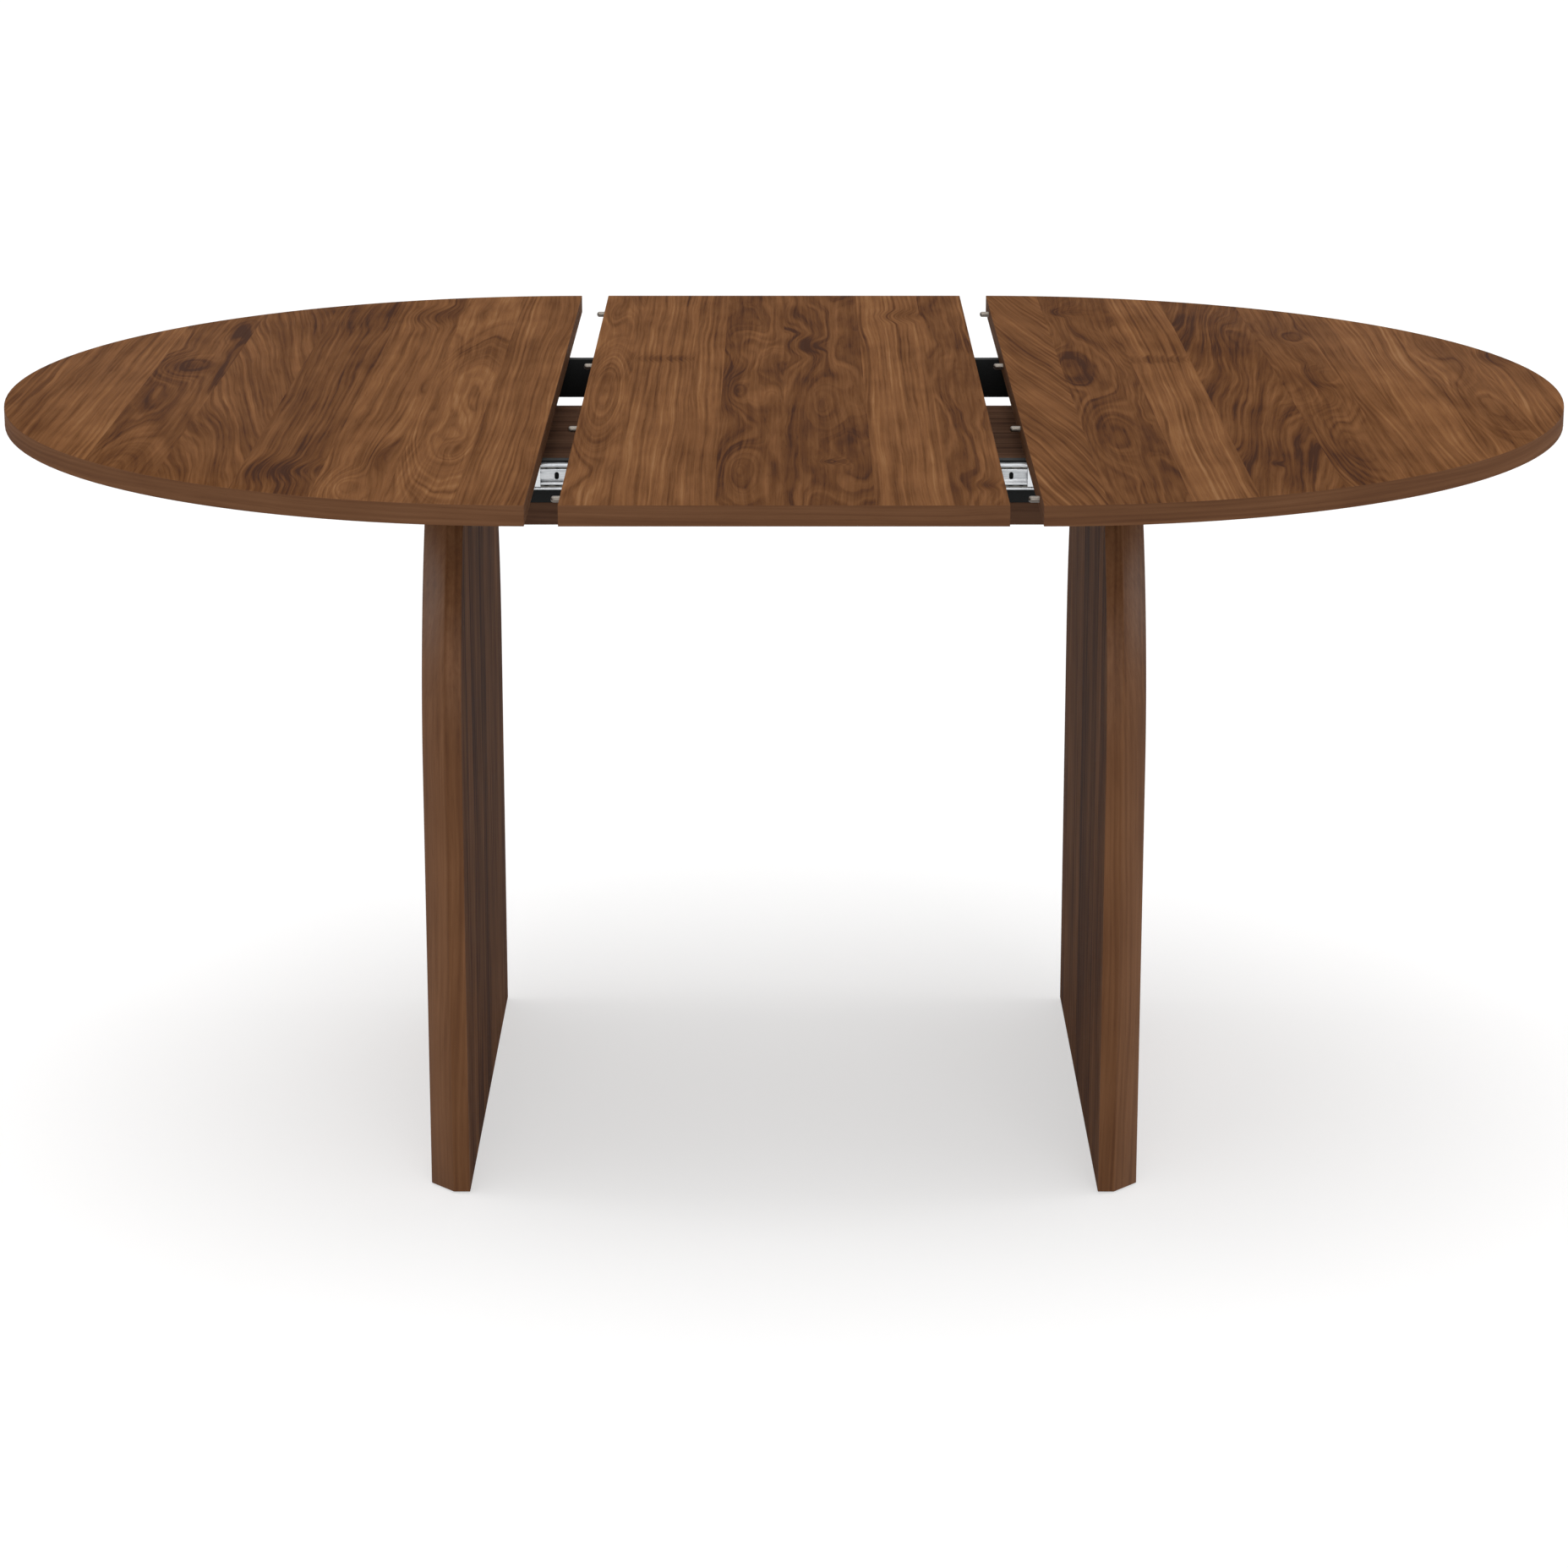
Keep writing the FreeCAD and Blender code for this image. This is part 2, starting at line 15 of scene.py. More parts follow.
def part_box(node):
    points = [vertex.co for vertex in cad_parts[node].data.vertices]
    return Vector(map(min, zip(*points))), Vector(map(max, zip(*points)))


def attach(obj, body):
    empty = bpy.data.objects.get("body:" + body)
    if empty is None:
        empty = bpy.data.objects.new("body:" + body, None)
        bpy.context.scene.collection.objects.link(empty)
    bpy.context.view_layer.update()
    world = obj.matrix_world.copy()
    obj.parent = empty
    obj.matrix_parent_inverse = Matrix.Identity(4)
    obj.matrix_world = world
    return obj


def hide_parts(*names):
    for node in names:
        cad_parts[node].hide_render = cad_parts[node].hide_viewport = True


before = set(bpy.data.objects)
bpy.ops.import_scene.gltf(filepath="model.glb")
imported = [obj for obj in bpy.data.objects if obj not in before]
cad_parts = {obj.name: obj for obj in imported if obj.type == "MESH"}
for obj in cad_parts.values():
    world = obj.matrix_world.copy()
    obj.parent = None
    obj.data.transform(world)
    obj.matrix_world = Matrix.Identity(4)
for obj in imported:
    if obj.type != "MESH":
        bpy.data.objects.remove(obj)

Material = bpy.types.Material
Object = bpy.types.Object
Place = tuple[float, float, float]
Span = tuple[float, float]
# A place and the direction of +Z there
Spot = tuple[Vector, Vector]

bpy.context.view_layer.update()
LOG = logging.getLogger("table")
MM = 0.001
UNIT: Span = (0.0, 1.0)
# Middle value of a noise
MIDDLE = 0.5
UPWARD = Vector((0, 0, 1))
DOWNWARD = Vector((0, 0, -1))
# Which way each side of the table lies along X
SIDES = {"right": 1, "left": -1}
CORNERS = ("front_right", "front_left", "rear_right", "rear_left")


class Axis(Enum):
    """Axis of the table's frame, as the name of a separated coordinate."""

    ALONG_TABLE = "X"
    FRONT_TO_BACK = "Y"
    UP = "Z"


class Drive(Enum):
    """Recess in a screw's head."""

    CROSS = "cross"
    HEXAGON = "hexagon"


def linear(code: str) -> tuple[float, float, float, float]:
    """Turn an sRGB hex code to a linear colour.

    Args:
        code: Six hex digits after a number sign.

    Returns:
        Linear red, green, blue and an alpha of 1.
    """
    shares = [int(code[i:i + 2], 16) / 255 for i in (1, 3, 5)]
    red, green, blue = [s / 12.92 if s <= 0.04045 else ((s + 0.055) / 1.055) ** 2.4 for s in shares]
    return red, green, blue, 1.0


class Graph:
    """Node tree of a material or world, with one way to add a node."""

    def __init__(self, owner: Any) -> None:
        """Empty the owner's tree.

        Args:
            owner: New material or world.
        """
        self.owner = owner
        owner.use_nodes = True
        self.tree = owner.node_tree
        self.tree.nodes.clear()

    def add(self, kind: str, inputs: dict[Any, Any] | tuple[Any, ...] = (), output: Any = 0,
            **settings: Any) -> Any:
        """Add a node with its settings and links.

        Args:
            kind: Node type without its ShaderNode prefix.
            inputs: Values or other nodes' outputs, by the sockets' names or numbers or in their order.
            output: Name or number of the socket to hand back.
            **settings: Node attributes; stops fills a colour ramp, interpolation sets how it blends.

        Returns:
            The chosen output socket, or the node itself if output is None.
        """
        node = self.tree.nodes.new("ShaderNode" + kind)
        for name, value in settings.items():
            if name == "stops":
                elements = node.color_ramp.elements
                while len(elements) < len(value):
                    elements.new(1.0)
                for element, (place, colour) in zip(elements, value):
                    element.position = place
                    element.color = colour
            elif name == "interpolation":
                node.color_ramp.interpolation = value
            else:
                setattr(node, name, value)
        sockets = inputs.items() if isinstance(inputs, dict) else enumerate(inputs)
        for name, value in sockets:
            if isinstance(value, bpy.types.NodeSocket):
                self.tree.links.new(value, node.inputs[name])
            else:
                node.inputs[name].default_value = value
        return node if output is None else node.outputs[output]

    def finish(self, **shader: Any) -> Material:
        """Close a material's tree with one shader.

        Args:
            **shader: Shader inputs, with underscores for the spaces in their names.

        Returns:
            The finished material.
        """
        inputs = {name.replace("_", " "): value for name, value in shader.items()}
        self.add("OutputMaterial", {"Surface": self.add("BsdfPrincipled", inputs)}, output=None)
        return self.owner


@dataclass(frozen=True)
class Plank:
    """One plank of a veneer, from its left edge to the next plank's."""

    left_mm: float
    tone_share: float
    figure_share: float
    lean_share: float = 0.5


@dataclass(frozen=True)
class Swirl:
    """Eye in the veneer, which the growth rings close round."""

    across_mm: float
    along_mm: float
    width_mm: float
    length_mm: float
    darkness: float
    rings: float = 3.0


@dataclass(frozen=True)
class Marks:
    """One layer of fine marks along the grain, drawn as stretched noise round a middle value."""

    width_mm: float
    length_mm: float
    detail: float
    middle: float
    weight: float


@dataclass(frozen=True)
class GrainPoint:
    """Sockets for the point under the shader: its place in the board and what its plank is like."""

    across: Any
    along: Any
    depth: Any
    tone: Any
    seed: Any
    figure: Any
    lean: Any
    number: Any
    # Inputs of a slow noise that differs from plank to plank
    slow: dict[str, Any]


FIBRES = Marks(2.2, 130.0, 4.0, MIDDLE, 0.64)
STREAKS = Marks(5.5, 420.0, 1.0, MIDDLE, 0.5)
CLOUDS = Marks(42.0, 140.0, 2.0, MIDDLE, 0.75)
# Real pores are a few tenths of a millimetre wide; they are drawn coarser, to show at all
PORES = Marks(1.4, 26.0, 2.0, 0.1, -0.12)
WALNUT_SHADES = ((0.0, "#42291d"), (0.16, "#573723"), (0.34, "#66432a"), (0.5, "#724d32"),
                 (0.66, "#7e5639"), (0.82, "#896040"), (1.0, "#966e4d"))


@dataclass(frozen=True)
class Walnut:
    """American walnut: warm brown with darker growth rings, as veneer, edge band, lipping or board.

    A figured plank shows rings that widen to ovals and arches; a plain one shows nearly straight lines.
    """

    name: str
    planks: tuple[Plank, ...]
    swirls: tuple[Swirl, ...] = ()
    across: Axis = Axis.ALONG_TABLE
    along: Axis = Axis.FRONT_TO_BACK
    depth: Axis = Axis.UP
    contrast: float = 1.0
    brightness: float = 0.865
    saturation: float = 1.05
    gloss: float = 0.01
    roughness: float = 0.7
    fibre_depth_mm: float = 2.2
    seed: float = 0.0
    # Step from one plank's seed to the next, and how far apart the seeds move the noise
    seed_step: float = 0.618
    seed_spread: float = 47.0
    # Slow bends of the grain, per metre across, along and through the board
    slow_per_metre: Place = (15.0, 2.4, 3.0)
    slow_detail: float = 3.0
    slow_roughness: float = 0.36
    # Growth rings: their pitch, how much a figured plank widens and bends them, and how far a plank leans
    ring_mm: float = 6.5
    figured_pitch_share: float = 0.3
    bends: Span = (4.0, 16.0)
    leans: Span = (-60.0, 60.0)
    lines_per_ring: float = 1.3
    ripple_share: float = 0.075
    # Dark bands and thin lines among the rings, and the places where they fade
    band_drift: float = 1.1
    band_scale: float = 0.75
    band_detail: float = 3.0
    band_roughness: float = 0.62
    line_scale: float = 1.6
    line_detail: float = 1.0
    line_span: Span = (0.54, 0.64)
    line_weight: float = -0.165
    fade_scale: float = 1.7
    fade_detail: float = 2.0
    fade_span: Span = (0.35, 0.62)
    fade_strengths: Span = (0.5, 1.1)
    # Eyes: how ragged and how soft their outline is, how dark they are, and how they push the fibres aside
    eye_warp: float = 3.4
    eye_fall: Span = (1.7, 0.0)
    eye_weight: float = -0.4
    eye_drift: float = 0.012
    seed_match: float = 0.006
    # Fibres and pores: how far they follow the bends, and how they catch the light
    warp_drift: float = 0.035
    marks_roughness: float = 0.6
    pore_span: Span = (0.56, 0.72)
    pore_relief: float = -0.6
    relief_strength: float = 0.16
    relief_mm: float = 0.4
    roughness_shares: Span = (1.15, 0.85)
    refraction: float = 1.5

    def seed_of(self, index: int) -> float:
        """Number between 0 and 1 that tells one plank from another."""
        return (index * self.seed_step + self.seed) % 1.0

    def plank_table(self, graph: Graph, across: Any) -> tuple[Any, Any, Any, Any]:
        """Look up the plank under a point.

        Args:
            graph: The material's tree.
            across: Coordinate across the planks, in metres.

        Returns:
            The plank's tone, seed, figure and lean, as sockets or, with one plank, as numbers.
        """
        first = self.planks[0]
        if len(self.planks) == 1:
            return first.tone_share, self.seed_of(0), first.figure_share, first.lean_share
        low = first.left_mm * MM
        width = 2 * abs(low)
        stops = []
        for index, plank in enumerate(self.planks):
            values = (plank.tone_share, self.seed_of(index), plank.figure_share, plank.lean_share)
            stops.append(((plank.left_mm * MM - low) / width, values))
        place = graph.add("MapRange", (across, low, low + width))
        ramp = graph.add("ValToRGB", (place,), output=None, stops=stops, interpolation="CONSTANT")
        parts = graph.add("SeparateColor", (ramp.outputs["Color"],), output=None)
        return parts.outputs[0], parts.outputs[1], parts.outputs[2], ramp.outputs["Alpha"]

    def point(self, graph: Graph) -> GrainPoint:
        """Find the point under the shader and its plank.

        Args:
            graph: The material's tree.

        Returns:
            The point's sockets.
        """
        place = graph.add("TexCoord", output="Object")
        xyz = graph.add("SeparateXYZ", (place,), output=None)
        across, along, depth = [xyz.outputs[axis.value] for axis in (self.across, self.along, self.depth)]
        tone, seed, figure, lean = self.plank_table(graph, across)
        number = graph.add("Math", (seed, self.seed_spread), operation="MULTIPLY")
        wood = graph.add("CombineXYZ", (across, along, depth))
        slow = {"Vector": graph.add("VectorMath", (wood, self.slow_per_metre), operation="MULTIPLY"),
                "W": number}
        return GrainPoint(across, along, depth, tone, seed, figure, lean, number, slow)

    def eyes(self, graph: Graph, point: GrainPoint, warp: Any) -> tuple[Any, Any]:
        """Sum the soft ovals of all swirls, each cut off at its plank's seams.

        Args:
            graph: The material's tree.
            point: The point under the shader.
            warp: Slow noise that bends the ovals.

        Returns:
            Summed darkness and summed rings, or zeros with no swirls.
        """
        flat = graph.add("CombineXYZ", (point.across, point.along))
        darkness, rings = 0.0, 0.0
        for swirl in self.swirls:
            centre = (swirl.across_mm * MM, swirl.along_mm * MM, 0)
            inverse = (1 / (swirl.width_mm * MM), 1 / (swirl.length_mm * MM), 1)
            offset = graph.add("VectorMath", (flat, centre), operation="SUBTRACT")
            oval = graph.add("VectorMath", (offset, inverse), operation="MULTIPLY")
            distance = graph.add("VectorMath", (oval,), output="Value", operation="LENGTH")
            distance = graph.add("Math", (warp, self.eye_warp, distance), operation="MULTIPLY_ADD")
            soft = graph.add("MapRange", (distance, *self.eye_fall), interpolation_type="SMOOTHSTEP")
            plank = max(i for i, plank in enumerate(self.planks) if plank.left_mm <= swirl.across_mm)
            own = graph.add("Math", (point.seed, self.seed_of(plank), self.seed_match), operation="COMPARE")
            soft = graph.add("Math", (soft, own), operation="MULTIPLY")
            darkness = graph.add("Math", (soft, swirl.darkness, darkness), operation="MULTIPLY_ADD")
            rings = graph.add("Math", (soft, swirl.rings, rings), operation="MULTIPLY_ADD")
        return darkness, rings

    def growth_rings(self, graph: Graph, point: GrainPoint, warp: Any, eye_rings: Any) -> tuple[Any, Any]:
        """Draw the growth rings: lines along the plank, bent into arches where it is figured.

        Args:
            graph: The material's tree.
            point: The point under the shader.
            warp: Slow noise that bends the rings.
            eye_rings: Rings that the eyes add.

        Returns:
            The rings' light and dark, and how far the grain drifts across for its way along.
        """
        straightness = graph.add("MapRange", (point.figure, *UNIT, 1.0, self.figured_pitch_share))
        pitch = graph.add("Math", (straightness, 1 / (self.ring_mm * MM)), operation="MULTIPLY")
        rings = graph.add("Math", (point.across, pitch), operation="MULTIPLY")
        bend = graph.add("MapRange", (point.figure, *UNIT, *self.bends))
        rings = graph.add("Math", (warp, bend, rings), operation="MULTIPLY_ADD")
        slope = graph.add("MapRange", (point.lean, *UNIT, *self.leans))
        rings = graph.add("Math", (point.along, slope, rings), operation="MULTIPLY_ADD")
        rings = graph.add("Math", (eye_rings, rings), operation="ADD")
        turns = graph.add("Math", (rings, 2 * math.pi * self.lines_per_ring), operation="MULTIPLY")
        ripple = graph.add("Math", (turns,), operation="SINE")
        drawn_out = graph.add("Math", (point.along, self.band_drift, point.number), operation="MULTIPLY_ADD")
        place = graph.add("CombineXYZ", (rings, drawn_out))
        bands = graph.add("TexNoise", {"Vector": place, "Scale": self.band_scale, "Detail": self.band_detail,
                                       "Roughness": self.band_roughness}, noise_dimensions="2D")
        lines = graph.add("TexNoise", {"Vector": place, "Scale": self.line_scale, "Detail": self.line_detail},
                          noise_dimensions="2D")
        lines = graph.add("MapRange", (lines, *self.line_span))
        fade = graph.add("TexNoise", point.slow | {"Scale": self.fade_scale, "Detail": self.fade_detail},
                         noise_dimensions="4D")
        strength = graph.add("MapRange", (fade, *self.fade_span, *self.fade_strengths))
        pattern = graph.add("Math", (bands, MIDDLE), operation="SUBTRACT")
        pattern = graph.add("Math", (lines, self.line_weight, pattern), operation="MULTIPLY_ADD")
        pattern = graph.add("Math", (ripple, self.ripple_share, pattern), operation="MULTIPLY_ADD")
        pattern = graph.add("Math", (pattern, strength), operation="MULTIPLY")
        return pattern, graph.add("Math", (slope, pitch), operation="DIVIDE")

    def layers(self, graph: Graph, thread: Any) -> dict[Marks, Any]:
        """Draw every layer of fine marks.

        Args:
            graph: The material's tree.
            thread: Place along the bent grain.

        Returns:
            The socket of each layer.
        """
        layers = {}
        for marks in (FIBRES, STREAKS, CLOUDS, PORES):
            deep = min(1.0, FIBRES.width_mm / marks.width_mm) / (self.fibre_depth_mm * MM)
            scale = (1 / (marks.width_mm * MM), 1 / (marks.length_mm * MM), deep)
            stretched = graph.add("VectorMath", (thread, scale), operation="MULTIPLY")
            layers[marks] = graph.add("TexNoise", {"Vector": stretched, "Scale": 1.0, "Detail": marks.detail,
                                                   "Roughness": self.marks_roughness})
        layers[PORES] = graph.add("MapRange", (layers[PORES], *self.pore_span))
        return layers

    def build(self) -> Material:
        """Build the material.

        Returns:
            The finished material.
        """
        graph = Graph(bpy.data.materials.new(self.name))
        point = self.point(graph)
        slow = {"Scale": 1.0, "Detail": self.slow_detail, "Roughness": self.slow_roughness}
        warp = graph.add("TexNoise", point.slow | slow, noise_dimensions="4D")
        warp = graph.add("Math", (warp, MIDDLE), operation="SUBTRACT")
        dark_eyes, eye_rings = self.eyes(graph, point, warp)
        pattern, slant = self.growth_rings(graph, point, warp, eye_rings)

        # Fibres, streaks and pores follow the rings' bends
        drift = graph.add("Math", (point.along, slant, point.across), operation="MULTIPLY_ADD")
        drift = graph.add("Math", (warp, self.warp_drift, drift), operation="MULTIPLY_ADD")
        drift = graph.add("Math", (dark_eyes, self.eye_drift, drift), operation="MULTIPLY_ADD")
        layers = self.layers(graph, graph.add("CombineXYZ", (drift, point.along, point.depth)))
        for marks, layer in layers.items():
            centred = graph.add("Math", (layer, marks.middle), operation="SUBTRACT")
            pattern = graph.add("Math", (centred, marks.weight, pattern), operation="MULTIPLY_ADD")
        pattern = graph.add("Math", (dark_eyes, self.eye_weight, pattern), operation="MULTIPLY_ADD")

        value = graph.add("Math", (pattern, self.contrast, point.tone), operation="MULTIPLY_ADD")
        stops = [(share, linear(code)) for share, code in WALNUT_SHADES]
        colour = graph.add("HueSaturation", {"Saturation": self.saturation, "Value": self.brightness,
                                             "Color": graph.add("ValToRGB", (value,), stops=stops)})
        fibres = layers[FIBRES]
        height = graph.add("Math", (layers[PORES], self.pore_relief, fibres), operation="MULTIPLY_ADD")
        bump = graph.add("Bump", {"Strength": self.relief_strength, "Distance": self.relief_mm * MM,
                                  "Height": height})
        rough, smooth = [self.roughness * share for share in self.roughness_shares]
        roughness = graph.add("MapRange", (fibres, *UNIT, rough, smooth))
        return graph.finish(Base_Color=colour, Roughness=roughness, Normal=bump, IOR=self.refraction,
                            Specular_IOR_Level=self.gloss)


# Left edge, tone, figure and lean of each plank, from the left end of the table to the right
TOP_PLANKS = (
    Plank(-800, 0.45, 0.35), Plank(-718, 0.58, 0.06), Plank(-652, 0.43, 0.85), Plank(-580, 0.43, 0.3, 0.66),
    Plank(-500, 0.36, 0.25), Plank(-428, 0.59, 0.2), Plank(-362, 0.62, 0.95), Plank(-295, 0.60, 0.08),
    Plank(-215, 0.60, 0.9), Plank(-160, 0.60, 0.1), Plank(-97, 0.59, 0.03), Plank(-68, 0.39, 0.95),
    Plank(0, 0.36, 0.8), Plank(78, 0.64, 0.05), Plank(145, 0.43, 0.7),
    Plank(215, 0.50, 0.15, 0.71), Plank(285, 0.40, 1.0), Plank(357, 0.61, 0.08), Plank(423, 0.33, 0.4, 0.38),
    Plank(503, 0.42, 0.9), Plank(565, 0.54, 0.15), Plank(597, 0.64, 0.1), Plank(662, 0.54, 0.85),
    Plank(722, 0.55, 0.4),
)
# Place, size, darkness and rings of each eye: the left half top's, the leaf's, then the right half top's
TOP_SWIRLS = (
    Swirl(-394, 412, 24, 50, 0.9, 2), Swirl(-625, 120, 30, 60, 0.45, 4), Swirl(-455, -400, 34, 44, 0.7, 2),
    Swirl(-335, 430, 9, 60, 0.6, 1), Swirl(-378, -350, 12, 110, 0.7, 2), Swirl(-324, -110, 36, 330, -0.05, 9),
    Swirl(-475, 440, 28, 110, 0.35, 2), Swirl(-365, 5, 4, 40, 0.6, 1), Swirl(-312, -310, 8, 30, 0.5, 1),
    Swirl(-622, -410, 26, 140, 0.1, 5), Swirl(-400, -470, 22, 90, -0.1, 5),
    Swirl(-50, -10, 16, 90, 0.75, 3), Swirl(5, 420, 14, 70, 0.6, 1), Swirl(28, 236, 22, 40, 0.5, 2),
    Swirl(-120, 160, 42, 16, 0.6, 0), Swirl(42, -362, 12, 14, 0.8, 2), Swirl(-42, -400, 22, 130, 0.3, 3),
    Swirl(130, 412, 26, 30, 0.5, 2), Swirl(-185, 425, 9, 60, 0.5, 1), Swirl(185, -465, 14, 22, 0.7, 1),
    Swirl(-48, 240, 20, 90, 0.1, 3), Swirl(36, -90, 20, 130, 0.1, 3), Swirl(-182, -30, 18, 190, 0.1, 7),
    Swirl(298, 105, 20, 90, 0.6, 3), Swirl(385, 152, 34, 14, 0.6, 0), Swirl(314, -250, 26, 140, 0.2, 4),
    Swirl(458, -372, 8, 14, 0.9, 1), Swirl(480, 310, 18, 120, 0.4, 3), Swirl(542, 285, 14, 36, 0.5, 2),
    Swirl(548, 60, 12, 40, 0.5, 2), Swirl(748, 160, 18, 36, 0.9, 1), Swirl(318, 440, 24, 26, 0.35, 3),
    Swirl(533, -330, 24, 130, 0.25, 3), Swirl(690, -110, 20, 120, 0.2, 3),
)
# The legs' planks from front to back, and the tie board's
LEG_PLANKS = (
    Plank(-300, 0.34, 0.2), Plank(-262, 0.22, 0.1), Plank(-205, 0.42, 0.05), Plank(-160, 0.2, 0.3),
    Plank(-92, 0.38, 0.1), Plank(-30, 0.16, 0.2), Plank(38, 0.44, 0.1), Plank(104, 0.3, 0.4),
    Plank(171, 0.4, 0.05), Plank(232, 0.24, 0.3),
)
BOARD_PLANKS = (Plank(-320, 0.3, 0.1), Plank(-160, 0.42, 0.2), Plank(0, 0.3, 0.1), Plank(160, 0.36, 0.2))


@dataclass(frozen=True)
class Skin:
    """Powder coat, moulded plastic or felt: an opaque skin with fine orange peel, grain or fibres.

    The fine pattern and soft clouds mix its two shades, and the pattern stands out in relief.
    """

    name: str
    light: str
    dark: str
    roughness: float
    pattern_mm: float
    pattern_length_mm: float
    relief: float
    relief_mm: float = 0.2
    pattern_detail: float = 2.0
    clouds_per_metre: float = 22.0
    cloud_detail: float = 4.0
    cloud_share: float = 0.5
    shade_span: Span = (0.35, 0.65)
    cloud_span: Span = (0.3, 0.7)
    roughness_shares: Span = (0.9, 1.1)
    metallic: float = 0.0
    sheen: float = 0.0
    gloss: float = 0.5

    def build(self) -> Material:
        """Build the material.

        Returns:
            The finished material.
        """
        graph = Graph(bpy.data.materials.new(self.name))
        place = graph.add("TexCoord", output="Object")
        fine = 1 / (self.pattern_mm * MM)
        scale = (1 / (self.pattern_length_mm * MM), fine, fine)
        drawn = graph.add("VectorMath", (place, scale), operation="MULTIPLY")
        pattern = graph.add("TexNoise", {"Vector": drawn, "Scale": 1.0, "Detail": self.pattern_detail})
        clouds = graph.add("TexNoise", {"Vector": place, "Scale": self.clouds_per_metre,
                                        "Detail": self.cloud_detail})
        both = graph.add("Mix", {0: self.cloud_share, 2: pattern, 3: clouds})
        shade = graph.add("MapRange", (both, *self.shade_span))
        colour = graph.add("ValToRGB", (shade,), stops=[(0.0, linear(self.dark)), (1.0, linear(self.light))])
        smooth, rough = [self.roughness * share for share in self.roughness_shares]
        roughness = graph.add("MapRange", (clouds, *self.cloud_span, smooth, rough))
        bump = graph.add("Bump", {"Strength": self.relief, "Distance": self.relief_mm * MM,
                                  "Height": pattern})
        return graph.finish(Base_Color=colour, Metallic=self.metallic, Roughness=roughness, Normal=bump,
                            Sheen_Weight=self.sheen, Specular_IOR_Level=self.gloss)


@dataclass(frozen=True)
class Steel(Skin):
    """Bare or plated steel: a metal whose fine rolling or turning lines stretch its highlights."""

    relief: float = 0.1
    relief_mm: float = 0.1
    pattern_detail: float = 3.0
    clouds_per_metre: float = 45.0
    cloud_detail: float = 3.0
    shade_span: Span = (0.375, 0.625)
    roughness_shares: Span = (0.8, 1.25)
    metallic: float = 1.0


def finished(kind: type, *settings: Any, **named: Any) -> Any:
    """Make a field whose finish is built as a material, with these values, when the palette is."""
    return field(default_factory=lambda: kind(*settings, **named).build())


